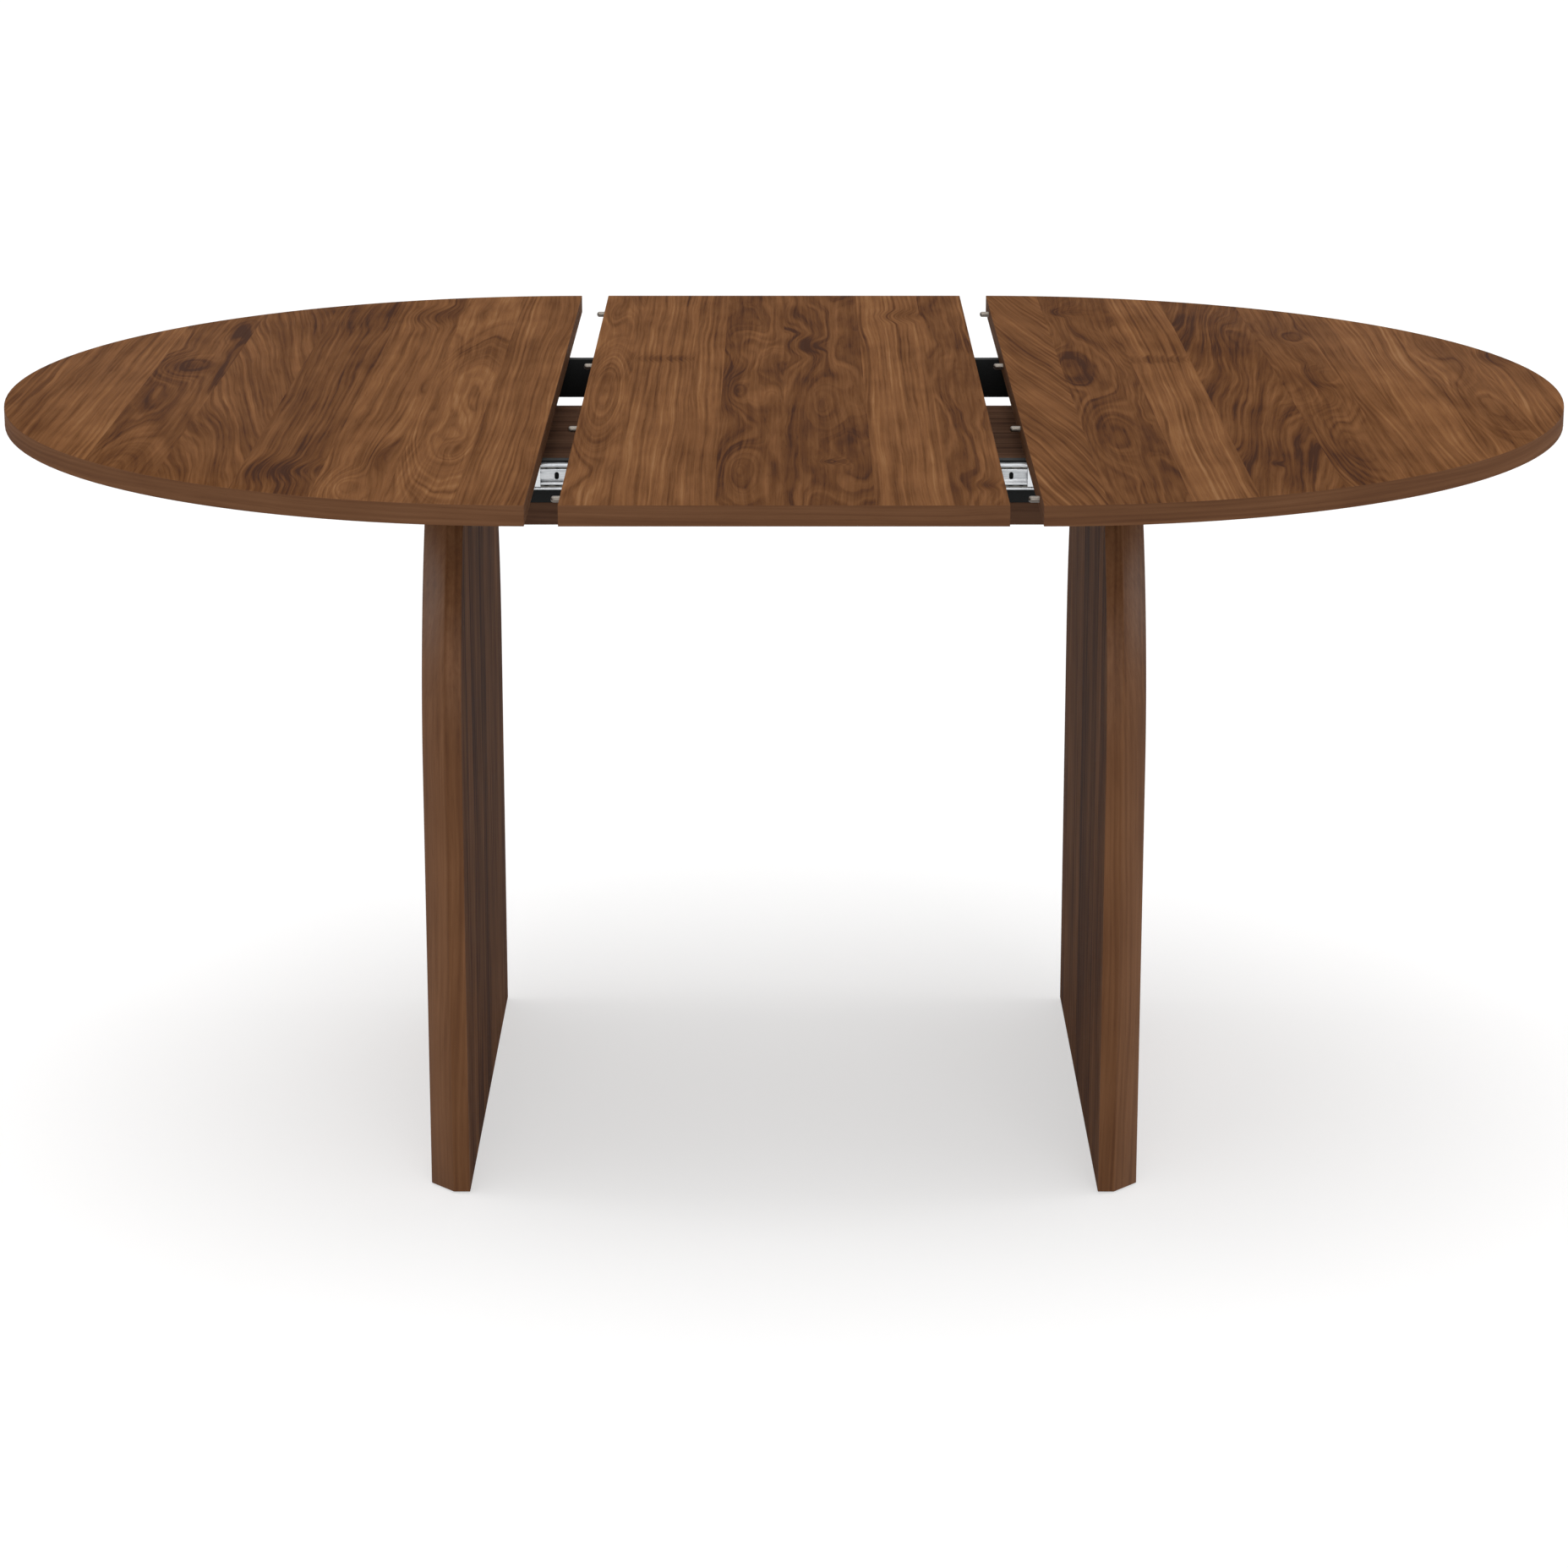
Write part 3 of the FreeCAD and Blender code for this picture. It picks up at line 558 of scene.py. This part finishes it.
@dataclass
class Palette:
    """Every finish of the table, built once."""

    # Walnut veneer, laid in narrow planks and lacquered matt: it keeps its colour when seen at a low angle
    top: Material = finished(Walnut, "walnut_plank_veneer_matt_lacquer", TOP_PLANKS, TOP_SWIRLS)
    # Walnut edge band round the boards, its fibres running along the edge: plainer and a little greyer
    band: Material = finished(
        Walnut, "walnut_edge_band_matt_lacquer", (Plank(0, 0.36, 0.0),), across=Axis.UP,
        along=Axis.ALONG_TABLE, depth=Axis.FRONT_TO_BACK, contrast=0.35, brightness=0.82, saturation=0.94,
        fibre_depth_mm=130.0)
    # Walnut veneer on the legs, laid upright in darker stripes
    leg: Material = finished(
        Walnut, "walnut_upright_veneer_matt_lacquer", LEG_PLANKS, across=Axis.FRONT_TO_BACK, along=Axis.UP,
        depth=Axis.ALONG_TABLE, brightness=0.96, saturation=0.98, seed=0.31)
    # Solid walnut lippings of the legs, lacquered satin: they catch a soft sheen on the chamfers
    lipping: Material = finished(
        Walnut, "walnut_solid_lipping_satin_lacquer", (Plank(0, 0.40, 0.1),), across=Axis.ALONG_TABLE,
        along=Axis.UP, depth=Axis.FRONT_TO_BACK, contrast=0.5, brightness=0.83, saturation=0.98, gloss=0.05,
        roughness=0.32, seed=0.77)
    # Walnut board under the top, laid along the table and lacquered matt
    board: Material = finished(
        Walnut, "walnut_board_matt_lacquer", BOARD_PLANKS, across=Axis.FRONT_TO_BACK, along=Axis.ALONG_TABLE,
        contrast=0.7, brightness=1.17, saturation=0.84, seed=0.57)
    # The same board's edges with painted shade: a darker walnut that stands in for the shade under the top,
    # their fibres running along the edge
    board_edge: Material = finished(
        Walnut, "walnut_board_edge_sealed", (Plank(0, 0.3, 0.0),), across=Axis.UP, along=Axis.ALONG_TABLE,
        depth=Axis.FRONT_TO_BACK, contrast=0.5, brightness=0.72, saturation=0.84, fibre_depth_mm=130.0)
    # Powder coat, baked black: nearly matt, with a fine orange peel
    black_coat: Material = finished(
        Skin, "steel_black_powder_coat", "#191b1b", "#111111", 0.6, 0.9, 0.9, 0.12, gloss=0.1)
    # Zinc plate, bright passivated: pale and clean, with faint clouds
    zinc: Material = finished(Steel, "steel_bright_zinc_plate", "#e4e6e8", "#c9cccf", 0.3, 0.5, 9.0)
    # Cold-rolled strip, zinc plated: fine lines along the slide
    rolled: Material = finished(
        Steel, "steel_cold_rolled_zinc_plate", "#c9cbcd", "#9ea1a4", 0.32, 0.4, 14.0)
    # Stamped thin strip of the ball cages: duller than the members
    stamped: Material = finished(Steel, "steel_stamped_cage", "#73716c", "#504e4b", 0.42, 0.3, 3.0)
    # Hardened steel balls, lapped to a mirror
    lapped: Material = finished(
        Steel, "steel_lapped_ball", "#eceef0", "#d9dcdf", 0.08, 0.4, 0.4, relief=0.02)
    # Turned steel pins: satin with fine rings
    turned: Material = finished(Steel, "steel_turned_pin", "#867f77", "#66605a", 0.36, 2.0, 0.3)
    # Black oxide screws: dark, slightly oily steel
    oxide: Material = finished(Steel, "steel_black_oxide", "#4a4a4c", "#323234", 0.38, 0.5, 0.8)
    # Moulded polyamide caps, fine spark-eroded grain
    cap: Material = finished(Skin, "polyamide_black_moulded", "#202122", "#18191a", 0.6, 0.5, 0.5, 0.25)
    # Natural nylon slip strips, waxy
    nylon: Material = finished(Skin, "nylon_natural_extruded", "#dcdacf", "#cfccc0", 0.42, 0.8, 0.8, 0.08)
    # Needle felt under the legs, brown-black, with loose fibres drawn coarse enough to show
    felt: Material = finished(
        Skin, "felt_needled_brown", "#4a3f37", "#2c2520", 0.95, 0.7, 0.7, 0.8, sheen=0.4)


def only(piece: Object) -> None:
    """Select one object alone and make it active.

    Args:
        piece: Object to select.
    """
    bpy.ops.object.select_all(action="DESELECT")
    piece.select_set(True)
    bpy.context.view_layer.objects.active = piece


@dataclass(frozen=True)
class Rounding:
    """How a CAD solid's corners are welded, its flat triangles merged and its sharp edges rounded."""

    weld: float = 1e-5
    flat_degrees: float = 1.0
    sharp_degrees: float = 28.0
    smooth_degrees: float = 25.0

    def bevel(self, piece: Object, width: float, segments: int) -> None:
        """Round an object's sharp edges with an applied Bevel modifier.

        Args:
            piece: Object to round.
            width: Bevel width in metres.
            segments: Faces across each bevel.
        """
        only(piece)
        bevel = piece.modifiers.new("soft_edges", "BEVEL")
        bevel.width = width
        bevel.segments = segments
        bevel.limit_method = "ANGLE"
        bevel.angle_limit = math.radians(self.sharp_degrees)
        bevel.use_clamp_overlap = True
        bpy.ops.object.modifier_apply(modifier=bevel.name)
        bpy.ops.object.shade_smooth_by_angle(angle=math.radians(self.smooth_degrees))

    def softened_copy(self, node: str, width: float, segments: int = 2) -> Object:
        """Copy a CAD node, merge its triangles and round its edges, all within the node's own box.

        Args:
            node: Name of the CAD node.
            width: Bevel width in metres.
            segments: Faces across each bevel.

        Returns:
            The new piece, named after the node.
        """
        piece = bpy.data.objects.new("soft_" + node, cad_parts[node].data.copy())
        bpy.context.collection.objects.link(piece)
        only(piece)
        bpy.ops.object.mode_set(mode="EDIT")
        bpy.ops.mesh.select_all(action="SELECT")
        bpy.ops.mesh.remove_doubles(threshold=self.weld)
        bpy.ops.mesh.dissolve_limited(angle_limit=math.radians(self.flat_degrees))
        bpy.ops.object.mode_set(mode="OBJECT")
        self.bevel(piece, width, segments)
        low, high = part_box(node)
        for vertex in piece.data.vertices:
            vertex.co = [min(max(value, start), end) for value, start, end in zip(vertex.co, low, high)]
        return piece


def set_out(model: Object, spots: list[Spot], name: str) -> Object:
    """Copy a model to every spot, join the copies to one piece and delete the model.

    Args:
        model: Object that stands on the origin along +Z.
        spots: Place of each copy's origin and direction of its +Z.
        name: Name of the joined piece.

    Returns:
        The joined piece.
    """
    copies = []
    for place, direction in spots:
        mesh = model.data.copy()
        mesh.transform(Matrix.Translation(place) @ direction.to_track_quat("Z", "Y").to_matrix().to_4x4())
        copy = bpy.data.objects.new(model.name + "_copy", mesh)
        bpy.context.collection.objects.link(copy)
        copies.append(copy)
    bpy.data.objects.remove(model)
    bpy.ops.object.select_all(action="DESELECT")
    for copy in copies:
        copy.select_set(True)
    bpy.context.view_layer.objects.active = copies[0]
    bpy.ops.object.join()
    copies[0].name = name
    return copies[0]


def dress(piece: Object, material: Material, body: str, slot: str, *nodes: str) -> None:
    """Give a finished piece its material and body, and report it.

    Args:
        piece: Finished piece.
        material: Its material.
        body: CAD body that it rides on.
        slot: Material slot of the record; not used.
        *nodes: CAD nodes that it stands for.
    """
    piece.data.materials.clear()
    piece.data.materials.append(material)
    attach(piece, body)
    if nodes:
        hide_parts(*nodes)
    LOG.info("%s rides on %s in %s", piece.name, body, material.name)


def face_edges(piece: Object, material: Material, faces: Axis, face_cosine: float = 0.97) -> None:
    """Give a board's edges a second material.

    Args:
        piece: Dressed board.
        material: Material of the edges.
        faces: Axis that the board's two broad faces look along.
        face_cosine: Least share of a broad face's normal that lies along that axis.
    """
    piece.data.materials.append(material)
    index = "XYZ".index(faces.value)
    for polygon in piece.data.polygons:
        polygon.material_index = 0 if abs(polygon.normal[index]) > face_cosine else 1


def dress_node(node: str, material: Material) -> None:
    """Give a carried-over CAD node a material and report it."""
    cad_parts[node].material_slots[0].material = material
    LOG.info("%s keeps its CAD shape in %s", node, material.name)


@dataclass(frozen=True)
class PanScrew:
    """Head of a pan-head screw or dome rivet, standing on the origin along +Z."""

    name: str
    radius: float
    height: float
    drive: Drive | None = None
    sides: int = 32
    rim_share: float = 0.9
    crown_share: float = 0.75
    crown_segments: int = 4
    recess_share: float = 0.45
    recess_depth_share: float = 0.6
    blade_share: float = 0.5
    smooth_degrees: float = 35.0

    def build(self) -> Object:
        """Turn the head, round its crown and cut its recess.

        Returns:
            The finished head.
        """
        place = (0, 0, self.height / 2)
        bpy.ops.mesh.primitive_cylinder_add(vertices=self.sides, radius=self.radius, depth=self.height,
                                            location=place)
        head = bpy.context.object
        head.name = self.name
        only(head)
        bpy.ops.object.transform_apply(location=True, rotation=True, scale=True)
        bpy.ops.object.mode_set(mode="EDIT")
        bpy.ops.mesh.select_all(action="DESELECT")
        bpy.ops.object.mode_set(mode="OBJECT")
        for edge in head.data.edges:
            ends = [head.data.vertices[i].co for i in edge.vertices]
            edge.select = all(end.z > self.height * self.rim_share for end in ends)
        bpy.ops.object.mode_set(mode="EDIT")
        bpy.ops.mesh.bevel(offset=self.height * self.crown_share, segments=self.crown_segments, profile=0.5,
                           affect="EDGES", clamp_overlap=True)
        bpy.ops.object.mode_set(mode="OBJECT")
        if self.drive:
            self.cut_recess(head)
        only(head)
        bpy.ops.object.shade_smooth_by_angle(angle=math.radians(self.smooth_degrees))
        return head

    def cut_recess(self, head: Object) -> None:
        """Cut the driver's recess into the head.

        Args:
            head: Head to cut.
        """
        depth = 2 * self.height * self.recess_depth_share
        place = (0, 0, self.height)
        reach = self.radius * self.recess_share
        blade = reach * self.blade_share
        cutters = []
        if self.drive is Drive.HEXAGON:
            bpy.ops.mesh.primitive_cylinder_add(vertices=6, radius=reach, depth=depth, location=place)
            cutters.append(bpy.context.object)
        else:
            for size in ((2 * reach, blade, depth), (blade, 2 * reach, depth)):
                bpy.ops.mesh.primitive_cube_add(size=1, location=place, scale=size)
                cutters.append(bpy.context.object)
        for cutter in cutters:
            cut = head.modifiers.new("recess", "BOOLEAN")
            cut.object = cutter
            cut.operation = "DIFFERENCE"
            only(head)
            bpy.ops.object.modifier_apply(modifier=cut.name)
            bpy.data.objects.remove(cutter)


@dataclass
class TableTop:
    """Half tops and leaf with their pins."""

    palette: Palette
    rounding: Rounding = Rounding()
    edge_round: float = 0.0007
    pin_round: float = 0.0026
    pin_segments: int = 6

    def build(self) -> None:
        """Soften the boards' and pins' edges and dress them."""
        boards = {"right_half_top": "right_top", "left_half_top": "left_top", "extension_leaf": "leaf"}
        for node, body in boards.items():
            board = self.rounding.softened_copy(node, self.edge_round)
            dress(board, self.palette.top, body, "walnut_top", node)
            face_edges(board, self.palette.band, Axis.UP)
        for node, body in {"leaf_pins": "leaf", "right_top_pins": "right_top"}.items():
            pins = self.rounding.softened_copy(node, self.pin_round, self.pin_segments)
            dress(pins, self.palette.turned, body, "pin_steel", node)


@dataclass
class Underframe:
    """Legs, tie board, rails, straps and corner brackets."""

    palette: Palette
    rounding: Rounding = Rounding()
    board_round: float = 0.0008
    rail_round: float = 0.0009
    small_round: float = 0.0004
    # Heads of the straps' screws, and the radius of the plain heads that they stand for
    strap_screw: PanScrew = PanScrew("strap_screw", 0.0056, 0.0032, Drive.HEXAGON)
    strap_head_radius: float = 0.0058
    # Corner brackets: their sheet and width, and their screws' place in each flange
    corner_screw: PanScrew = PanScrew("corner_screw", 0.0042, 0.0022, Drive.CROSS)
    bracket_sheet: float = 0.003
    bracket_width: float = 0.06
    screw_reach_share: float = 0.6
    screw_offset: float = 0.017

    def build(self) -> None:
        """Dress the underframe and set its screws."""
        for side in SIDES:
            leg = f"{side}_leg"
            panel = self.rounding.softened_copy(leg, self.board_round)
            dress(panel, self.palette.leg, "base", "walnut_leg", leg)
            face_edges(panel, self.palette.lipping, Axis.ALONG_TABLE)
            dress_node(f"{side}_leg_felt_strips", self.palette.felt)
            dress_node(f"{side}_leg_slip_strips", self.palette.nylon)
            dress_node(f"{side}_corner_brackets", self.palette.zinc)
        board = self.rounding.softened_copy("tie_board", self.board_round)
        dress(board, self.palette.board, "base", "walnut_board", "tie_board")
        # The board's edges get the darker walnut of painted shade, which stands in for the shade under the
        # top
        face_edges(board, self.palette.board_edge, Axis.UP)
        for node in ("front_rail", "rear_rail", "left_strap", "centre_strap", "right_strap"):
            piece = self.rounding.softened_copy(node, self.rail_round)
            dress(piece, self.palette.black_coat, "base", "black_powder_coat", node)
        caps = self.rounding.softened_copy("rail_end_caps", self.small_round)
        dress(caps, self.palette.cap, "base", "black_plastic", "rail_end_caps")
        bolts = self.rounding.softened_copy("strap_rail_bolts", self.small_round)
        dress(bolts, self.palette.oxide, "base", "black_oxide_steel", "strap_rail_bolts")
        self.strap_screws()
        self.corner_screws()

    def strap_screws(self) -> None:
        """Set the pan-head screws that hold the straps to the tie board."""
        low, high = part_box("strap_board_screws")
        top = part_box("centre_strap")[1].z
        half = (high.y - low.y) / 2 - self.strap_head_radius
        spots = []
        for strap in ("left_strap", "centre_strap", "right_strap"):
            start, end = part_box(strap)
            spots += [(Vector(((start.x + end.x) / 2, row * half, top)), UPWARD) for row in (-1, 1)]
        screws = set_out(self.strap_screw.build(), spots, "strap_screw_heads")
        dress(screws, self.palette.oxide, "base", "black_oxide_steel", "strap_board_screws")

    def corner_screws(self) -> None:
        """Set two screws through each flange of every corner bracket."""
        spots = []
        for side, sign in SIDES.items():
            low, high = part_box(f"{side}_corner_brackets")
            leg_face = high.x if sign > 0 else low.x
            reach = (high.x - low.x) * self.screw_reach_share
            row = high.y - self.bracket_width / 2
            for y in (end * row + step * self.screw_offset for end in (-1, 1) for step in (-1, 1)):
                under = Vector((leg_face - sign * reach, y, high.z - self.bracket_sheet))
                inside = Vector((leg_face - sign * self.bracket_sheet, y, high.z - reach))
                spots += [(under, DOWNWARD), (inside, Vector((-sign, 0, 0)))]
        screws = set_out(self.corner_screw.build(), spots, "corner_screw_heads")
        dress(screws, self.palette.zinc, "base", "zinc_plated_steel")


@dataclass(frozen=True)
class BallRow:
    """Balls of one cage: their radius, and the rows' height and depth in the outer member."""

    radius: float
    height: float
    depth: float


@dataclass
class SlideSet:
    """The four telescopic slides with their balls, rivets and brackets."""

    palette: Palette
    rounding: Rounding = Rounding()
    member_round: float = 0.00012
    bracket_round: float = 0.0003
    ball_pitch: float = 0.0105
    balls_per_row: int = 8
    ball_subdivisions: int = 3
    outer: BallRow = BallRow(0.0017, 0.00975, 0.0066)
    inner: BallRow = BallRow(0.0014, 0.00555, 0.00695)
    # Angle brackets: their sheet, and the rivets and screws along them and in from their lip
    bracket_sheet: float = 0.002
    rivet: PanScrew = PanScrew("rivet", 0.003, 0.0012)
    rivet_insets: tuple[float, ...] = (0.040, 0.120, 0.200)
    screw: PanScrew = PanScrew("bracket_screw", 0.0045, 0.0026, Drive.CROSS)
    screw_insets: tuple[float, ...] = (0.020, 0.120, 0.220)
    screw_lip_inset: float = 0.015

    def build(self) -> None:
        """Dress every slide and set its balls, rivets and screws."""
        for corner in CORNERS:
            side = corner.split("_")[1]
            bodies = {"outer": "base", "middle": f"{side}_middle_members", "inner": f"{side}_top"}
            for member, body in bodies.items():
                node = f"{corner}_{member}_member"
                piece = self.rounding.softened_copy(node, self.member_round)
                dress(piece, self.palette.rolled, body, "slide_steel", node)
            for cage, row in {"outer": self.outer, "inner": self.inner}.items():
                dress_node(f"{corner}_{cage}_ball_cage", self.palette.stamped)
                self.balls(corner, side, cage, row)
            node = f"{corner}_angle_bracket"
            bracket = self.rounding.softened_copy(node, self.bracket_round)
            dress(bracket, self.palette.zinc, f"{side}_top", "zinc_plated_steel", node)
            self.rivets(corner, side)
        self.bracket_screws()

    def balls(self, corner: str, side: str, cage: str, row: BallRow) -> None:
        """Fill one cage with its two rows of balls.

        Args:
            corner: Corner of the table.
            side: Right or left.
            cage: Outer or inner.
            row: The cage's balls.
        """
        low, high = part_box(f"{corner}_{cage}_ball_cage")
        member_low, member_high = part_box(f"{corner}_outer_member")
        y = member_high.y - row.depth if corner.startswith("front") else member_low.y + row.depth
        middle = (member_low.z + member_high.z) / 2
        first = (low.x + high.x) / 2 - (self.balls_per_row - 1) * self.ball_pitch / 2
        spots = [(Vector((first + index * self.ball_pitch, y, middle + sign * row.height)), UPWARD)
                 for index in range(self.balls_per_row) for sign in (-1, 1)]
        bpy.ops.object.select_all(action="DESELECT")
        bpy.ops.mesh.primitive_ico_sphere_add(subdivisions=self.ball_subdivisions, radius=row.radius,
                                              location=(0, 0, 0))
        bpy.ops.object.shade_smooth()
        balls = set_out(bpy.context.object, spots, f"{corner}_{cage}_balls")
        dress(balls, self.palette.lapped, f"{side}_{cage}_cages", "slide_steel")

    def rivets(self, corner: str, side: str) -> None:
        """Set the dome rivets that hold the angle bracket to the inner member.

        Args:
            corner: Corner of the table.
            side: Right or left.
        """
        low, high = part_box(f"{corner}_inner_member")
        front = corner.startswith("front")
        y = low.y - self.bracket_sheet if front else high.y + self.bracket_sheet
        outward = Vector((0, -1 if front else 1, 0))
        start = low.x if side == "right" else high.x
        spots = [(Vector((start + SIDES[side] * inset, y, (low.z + high.z) / 2)), outward)
                 for inset in self.rivet_insets]
        rivets = set_out(self.rivet.build(), spots, f"{corner}_bracket_rivets")
        dress(rivets, self.palette.rolled, f"{side}_top", "zinc_plated_steel")

    def bracket_screws(self) -> None:
        """Set the pan-head screws that hold the angle brackets to the half tops."""
        for side, step in SIDES.items():
            spots = []
            for end in ("front", "rear"):
                low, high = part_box(f"{end}_{side}_angle_bracket")
                start = low.x if step > 0 else high.x
                y = low.y + self.screw_lip_inset if end == "front" else high.y - self.screw_lip_inset
                spots += [(Vector((start + step * inset, y, high.z - self.bracket_sheet)), DOWNWARD)
                          for inset in self.screw_insets]
            heads = set_out(self.screw.build(), spots, f"{side}_bracket_screw_heads")
            dress(heads, self.palette.zinc, f"{side}_top", "zinc_plated_steel", f"{side}_bracket_screws")


@dataclass(frozen=True)
class Lamp:
    """Wide, soft and distant lamp that points at the table from a place."""

    name: str
    place: Place
    strength: float
    aim: Place = (0.0, 0.0, 0.0)


@dataclass(frozen=True)
class SoftBox:
    """Dim soft box beside the table, which shows as a sheen on the legs' curved chamfers."""

    name: str
    place: Place
    aim: Place
    width: float = 1.2
    height: float = 1.0
    watts: float = 20.0


@dataclass
class Studio:
    """Camera, white floor and soft light."""

    camera_place: Place = (0.0, -4.143, 1.554)
    pitch_degrees: float = 14.225
    lens_mm: float = 95.63
    sensor_mm: float = 36.0
    shift_y: float = -0.1
    floor_half: float = 60.0
    floor_drop: float = 0.0002
    # The camera sees darker paint with a glow, and light bounces off a paler paint without one
    floor_tone: float = 0.54
    floor_bounce_tone: float = 0.82
    floor_glow: float = 0.512
    sky: float = 0.64
    lamp_width_degrees: float = 50.0
    lamps: tuple[Lamp, ...] = (Lamp("top_lamp", (-0.3, -0.3, 4.0), 0.95),
                               Lamp("front_lamp", (0.3, -3.6, 0.85), 1.35))
    soft_boxes: tuple[SoftBox, ...] = (SoftBox("left_box", (-3.3, 0.3, 1.05), (-0.34, -0.2, 0.55)),
                                       SoftBox("right_box", (3.3, 0.3, 1.05), (0.34, -0.2, 0.55)))

    def camera(self) -> None:
        """Set the camera in front, looking slightly down."""
        data = bpy.data.cameras.new("camera")
        data.lens = self.lens_mm
        data.sensor_width = self.sensor_mm
        data.shift_y = self.shift_y
        camera = bpy.data.objects.new("camera", data)
        camera.location = self.camera_place
        camera.rotation_euler = (math.radians(90 - self.pitch_degrees), 0, 0)
        bpy.context.collection.objects.link(camera)
        bpy.context.scene.camera = camera

    def floor(self) -> None:
        """Lay a pale floor that keeps the table's shadow; it is clear from below, to show the underside."""
        bpy.ops.object.select_all(action="DESELECT")
        bpy.ops.mesh.primitive_plane_add(size=2 * self.floor_half, location=(0, 0, -self.floor_drop))
        floor = bpy.context.object
        floor.name = "floor"
        graph = Graph(bpy.data.materials.new("studio_floor_white_paint"))
        rays = graph.add("LightPath", output=None).outputs
        seen = graph.add("Math", (rays["Is Camera Ray"], rays["Is Glossy Ray"]), operation="ADD")
        seen = graph.add("Math", (seen, rays["Is Transmission Ray"]), operation="ADD")
        glow = graph.add("Math", (seen, self.floor_glow), operation="MULTIPLY")
        tone = graph.add("MapRange", (seen, *UNIT, self.floor_bounce_tone, self.floor_tone))
        paint = graph.add("BsdfDiffuse", {"Color": tone})
        surface = graph.add("AddShader", (paint, graph.add("Emission", {"Strength": glow})))
        underneath = graph.add("NewGeometry", output="Backfacing")
        surface = graph.add("MixShader", (underneath, surface, graph.add("BsdfTransparent")))
        graph.add("OutputMaterial", {"Surface": surface}, output=None)
        floor.data.materials.append(graph.owner)

    def world(self) -> None:
        """Surround the table with even white, which the camera and gloss see as pure white."""
        graph = Graph(bpy.data.worlds.new("studio_world"))
        diffuse = graph.add("LightPath", output="Is Diffuse Ray")
        strength = graph.add("MapRange", (diffuse, *UNIT, 1.0, self.sky))
        glow = graph.add("Background", {"Color": (1, 1, 1, 1), "Strength": strength})
        graph.add("OutputWorld", {"Surface": glow}, output=None)
        bpy.context.scene.world = graph.owner

    def hang(self, data: bpy.types.Light, place: Place, aim: Place) -> Object:
        """Hang a light at a place and point it.

        Args:
            data: The light.
            place: Where it hangs.
            aim: Point that it faces.

        Returns:
            The light's object.
        """
        light = bpy.data.objects.new(data.name, data)
        light.location = place
        light.rotation_euler = (Vector(aim) - Vector(place)).to_track_quat("-Z", "Y").to_euler()
        bpy.context.collection.objects.link(light)
        return light

    def light(self) -> None:
        """Hang the lamps and stand the soft boxes, which the camera doesn't see."""
        for lamp in self.lamps:
            data = bpy.data.lights.new(lamp.name, "SUN")
            data.energy = lamp.strength
            data.angle = math.radians(self.lamp_width_degrees)
            self.hang(data, lamp.place, lamp.aim)
        for box in self.soft_boxes:
            data = bpy.data.lights.new(box.name, "AREA")
            data.shape = "RECTANGLE"
            data.size = box.width
            data.size_y = box.height
            data.energy = box.watts
            self.hang(data, box.place, box.aim).visible_camera = False

    def build(self) -> None:
        """Set up the studio."""
        self.camera()
        self.floor()
        self.world()
        self.light()
        bpy.context.scene.view_settings.view_transform = "Standard"


def main() -> None:
    """Build the dressed table and its studio."""
    logging.basicConfig(level=logging.INFO, format="%(name)s: %(message)s")
    palette = Palette()
    for assembly in (TableTop(palette), Underframe(palette), SlideSet(palette), Studio()):
        LOG.info("building %s", type(assembly).__name__)
        assembly.build()


if __name__ == "__main__":
    main()
